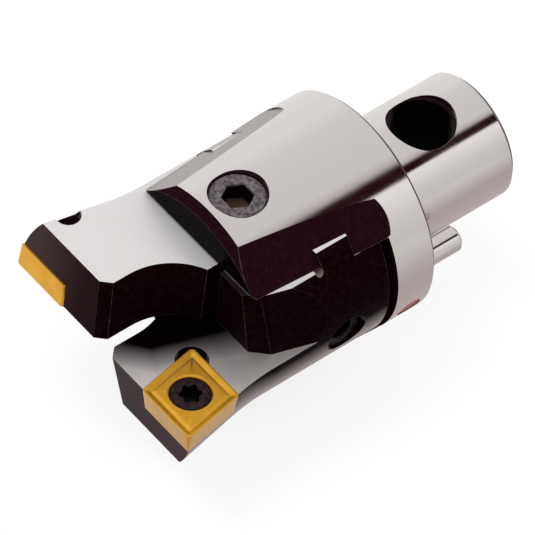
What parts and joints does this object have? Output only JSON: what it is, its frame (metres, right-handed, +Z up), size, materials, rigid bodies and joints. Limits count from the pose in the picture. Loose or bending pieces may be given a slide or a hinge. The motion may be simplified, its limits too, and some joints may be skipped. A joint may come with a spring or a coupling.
{
  "type": "rough boring head",
  "caption": "Modular boring head: slotted body on a short cylindrical shank, with sliding holders that carry clamped rhombic inserts.",
  "frame": {"origin": "centre of the contact face behind the flange, on the tool axis", "axes": "+Y along the tool axis towards the shank's end, -Y towards the cutting end, X along the slide of the holders, +Z up through the upper clamp screw"},
  "size_m": [0.0475, 0.0819, 0.042],
  "materials": {
    "ground_steel": "cylindrically ground hardened steel, satin",
    "holder_steel": "hardened steel, ground faces and milled faces",
    "pin_steel": "ground hardened pin",
    "black_screw": "blackened set screw, mottled",
    "insert_screw": "blackened countersunk screw",
    "carbide_coating": "gold titanium nitride coating on sintered carbide",
    "pad_brass": "turned brass",
    "red_enamel": "red enamel fill",
    "nylon": "natural nylon"
  },
  "bodies": {
    "head": {"head_body": "ground_steel", "drive_pin": "pin_steel", "index_mark": "red_enamel", "stop_pin": "pin_steel", "clamp_pad_top": "pad_brass", "clamp_pad_bottom": "pad_brass"},
    "clamp_screw_top": {"clamp_screw_top": "black_screw"},
    "clamp_screw_bottom": {"clamp_screw_bottom": "black_screw"},
    "adjusting_screw_a": {"adjusting_screw_a": "black_screw", "lock_pellet_a": "nylon"},
    "adjusting_screw_b": {"adjusting_screw_b": "black_screw", "lock_pellet_b": "nylon"},
    "holder_a": {"holder_a": "holder_steel", "insert_a": "carbide_coating"},
    "holder_b": {"holder_b": "holder_steel", "insert_b": "carbide_coating"},
    "insert_screw_a": {"insert_screw_a": "insert_screw"},
    "insert_screw_b": {"insert_screw_b": "insert_screw"}
  },
  "joints": [
    {"name": "slide_a", "type": "slide", "parent": "head", "child": "holder_a", "axis": [1, 0, 0], "range_m": [-0.001, 0.005]},
    {"name": "slide_b", "type": "slide", "parent": "head", "child": "holder_b", "axis": [-1, 0, 0], "range_m": [-0.0005, 0.0055]},
    {"name": "adjust_a", "type": "hinge", "parent": "head", "child": "adjusting_screw_a", "pos_m": [0, -0.019, -0.003], "axis": [1, 0, 0], "range_deg": [-1800, 360]},
    {"name": "adjust_b", "type": "hinge", "parent": "head", "child": "adjusting_screw_b", "pos_m": [0, -0.019, 0.003], "axis": [-1, 0, 0], "range_deg": [-1980, 180]},
    {"name": "clamp_top", "type": "hinge", "parent": "head", "child": "clamp_screw_top", "pos_m": [0, -0.028, 0], "axis": [0, 0, 1], "range_deg": [0, 360]},
    {"name": "clamp_bottom", "type": "hinge", "parent": "head", "child": "clamp_screw_bottom", "pos_m": [0, -0.028, 0], "axis": [0, 0, -1], "range_deg": [0, 360]},
    {"name": "insert_screw_a_turn", "type": "hinge", "parent": "holder_a", "child": "insert_screw_a", "pos_m": [0.01659, -0.05, 0], "axis": [0, 0, 1], "range_deg": [0, 720]},
    {"name": "insert_screw_b_turn", "type": "hinge", "parent": "holder_b", "child": "insert_screw_b", "pos_m": [-0.01609, -0.05, 0], "axis": [0, 0, -1], "range_deg": [0, 720]}
  ],
  "couplings": [
    {"joint": "adjust_a", "follows": "slide_a", "rad_per_m": -6283.2},
    {"joint": "adjust_b", "follows": "slide_b", "rad_per_m": -6283.2}
  ]
}
